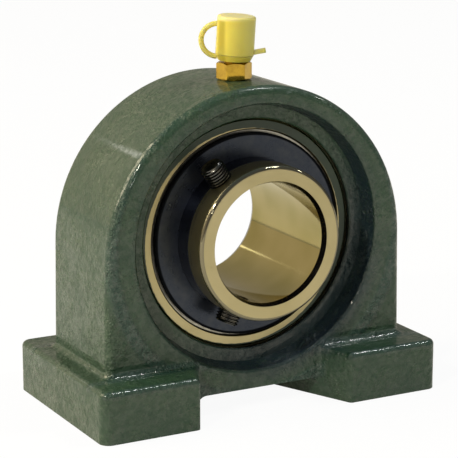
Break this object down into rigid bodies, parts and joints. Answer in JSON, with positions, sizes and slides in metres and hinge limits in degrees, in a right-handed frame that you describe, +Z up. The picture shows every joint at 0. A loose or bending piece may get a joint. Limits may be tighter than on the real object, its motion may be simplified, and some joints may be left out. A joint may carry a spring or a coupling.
{
  "type": "pillow block bearing",
  "caption": "Cast pillow block with tapped base holes, holding a self-aligning ball bearing insert with set screws and a capped grease nipple.",
  "frame": {"origin": "centre of the base, on the underside of the feet", "axes": "+Z up, +Y along the shaft away from the set-screw side, +X along the base to the right seen from the set-screw side"},
  "size_m": [0.094, 0.051, 0.0966],
  "materials": {
    "casting_paint": "dark green gloss enamel over a sand-cast surface",
    "ring_steel": "ground bearing steel with an oil film",
    "ball_steel": "polished bearing steel",
    "cage_steel": "pressed bright steel",
    "seal_steel": "plated pressed steel",
    "seal_rubber": "black nitrile",
    "slinger_steel": "dark polished pressed steel",
    "screw_steel": "oiled dark steel",
    "pin_steel": "ground steel",
    "brass": "machined brass",
    "spring_steel": "drawn steel wire",
    "cap_plastic": "translucent yellow moulding"
  },
  "bodies": {
    "housing": {"housing": "casting_paint", "nipple_body": "brass", "nipple_spring": "spring_steel", "cap_collar": "cap_plastic", "cap_strap": "cap_plastic"},
    "check_ball": {"nipple_check_ball": "ball_steel"},
    "cap": {"nipple_cap": "cap_plastic"},
    "pin": {"locating_pin": "pin_steel"},
    "outer_ring": {"outer_ring": "ring_steel", "front_seal_plate": "seal_steel", "rear_seal_plate": "seal_steel", "front_seal_lip": "seal_rubber", "rear_seal_lip": "seal_rubber"},
    "inner_ring": {"inner_ring": "ring_steel", "front_slinger": "slinger_steel", "rear_slinger": "slinger_steel"},
    "cage": {"cage_front_half": "cage_steel", "cage_rear_half": "cage_steel", "cage_rivets": "cage_steel"},
    "ball_1": {"ball_1": "ball_steel"},
    "ball_2": {"ball_2": "ball_steel"},
    "ball_3": {"ball_3": "ball_steel"},
    "ball_4": {"ball_4": "ball_steel"},
    "ball_5": {"ball_5": "ball_steel"},
    "ball_6": {"ball_6": "ball_steel"},
    "ball_7": {"ball_7": "ball_steel"},
    "ball_8": {"ball_8": "ball_steel"},
    "ball_9": {"ball_9": "ball_steel"},
    "screw_1": {"set_screw_1": "screw_steel"},
    "screw_2": {"set_screw_2": "screw_steel"}
  },
  "joints": [
    {"name": "insert_swivel", "type": "hinge", "parent": "housing", "child": "pin", "pos_m": [0, 0, 0.0429], "axis": [0, 0, 1], "range_deg": [-5, 5]},
    {"name": "insert_tilt", "type": "hinge", "parent": "pin", "child": "outer_ring", "pos_m": [0, 0, 0.0429], "axis": [1, 0, 0], "range_deg": [-5, 5]},
    {"name": "shaft_spin", "type": "hinge", "parent": "outer_ring", "child": "inner_ring", "pos_m": [0, 0, 0.0429], "axis": [0, 1, 0], "continuous": true},
    {"name": "cage_spin", "type": "hinge", "parent": "outer_ring", "child": "cage", "pos_m": [0, 0, 0.0429], "axis": [0, 1, 0], "continuous": true},
    {"name": "ball_1_spin", "type": "hinge", "parent": "cage", "child": "ball_1", "pos_m": [0, 0, 0.0659], "axis": [0, 1, 0], "continuous": true},
    {"name": "ball_2_spin", "type": "hinge", "parent": "cage", "child": "ball_2", "pos_m": [0.01478, 0, 0.06052], "axis": [0, 1, 0], "continuous": true},
    {"name": "ball_3_spin", "type": "hinge", "parent": "cage", "child": "ball_3", "pos_m": [0.02265, 0, 0.04689], "axis": [0, 1, 0], "continuous": true},
    {"name": "ball_4_spin", "type": "hinge", "parent": "cage", "child": "ball_4", "pos_m": [0.01992, 0, 0.0314], "axis": [0, 1, 0], "continuous": true},
    {"name": "ball_5_spin", "type": "hinge", "parent": "cage", "child": "ball_5", "pos_m": [0.00787, 0, 0.02129], "axis": [0, 1, 0], "continuous": true},
    {"name": "ball_6_spin", "type": "hinge", "parent": "cage", "child": "ball_6", "pos_m": [-0.00787, 0, 0.02129], "axis": [0, 1, 0], "continuous": true},
    {"name": "ball_7_spin", "type": "hinge", "parent": "cage", "child": "ball_7", "pos_m": [-0.01992, 0, 0.0314], "axis": [0, 1, 0], "continuous": true},
    {"name": "ball_8_spin", "type": "hinge", "parent": "cage", "child": "ball_8", "pos_m": [-0.02265, 0, 0.04689], "axis": [0, 1, 0], "continuous": true},
    {"name": "ball_9_spin", "type": "hinge", "parent": "cage", "child": "ball_9", "pos_m": [-0.01478, 0, 0.06052], "axis": [0, 1, 0], "continuous": true},
    {"name": "set_screw_1_travel", "type": "slide", "parent": "inner_ring", "child": "screw_1", "axis": [-0.5664, 0, 0.8241], "range_m": [-0.002, 0.002]},
    {"name": "set_screw_2_travel", "type": "slide", "parent": "inner_ring", "child": "screw_2", "axis": [-0.4305, 0, -0.9026], "range_m": [0, 0.002]},
    {"name": "cap_lift", "type": "slide", "parent": "housing", "child": "cap", "axis": [0.0538, -0.0289, 0.9981], "range_m": [0, 0.0052], "deforming": ["cap_strap"]},
    {"name": "valve_press", "type": "slide", "parent": "housing", "child": "check_ball", "axis": [0, 0, -1], "range_m": [0, 0.001], "stiffness_N_per_m": 200, "springref_m": -0.002, "deforming": ["nipple_spring"]}
  ],
  "couplings": [
    {"joint": "cage_spin", "follows": "shaft_spin", "ratio": 0.39647},
    {"joint": "ball_1_spin", "follows": "shaft_spin", "ratio": -2.3112},
    {"joint": "ball_2_spin", "follows": "shaft_spin", "ratio": -2.3112},
    {"joint": "ball_3_spin", "follows": "shaft_spin", "ratio": -2.3112},
    {"joint": "ball_4_spin", "follows": "shaft_spin", "ratio": -2.3112},
    {"joint": "ball_5_spin", "follows": "shaft_spin", "ratio": -2.3112},
    {"joint": "ball_6_spin", "follows": "shaft_spin", "ratio": -2.3112},
    {"joint": "ball_7_spin", "follows": "shaft_spin", "ratio": -2.3112},
    {"joint": "ball_8_spin", "follows": "shaft_spin", "ratio": -2.3112},
    {"joint": "ball_9_spin", "follows": "shaft_spin", "ratio": -2.3112}
  ]
}
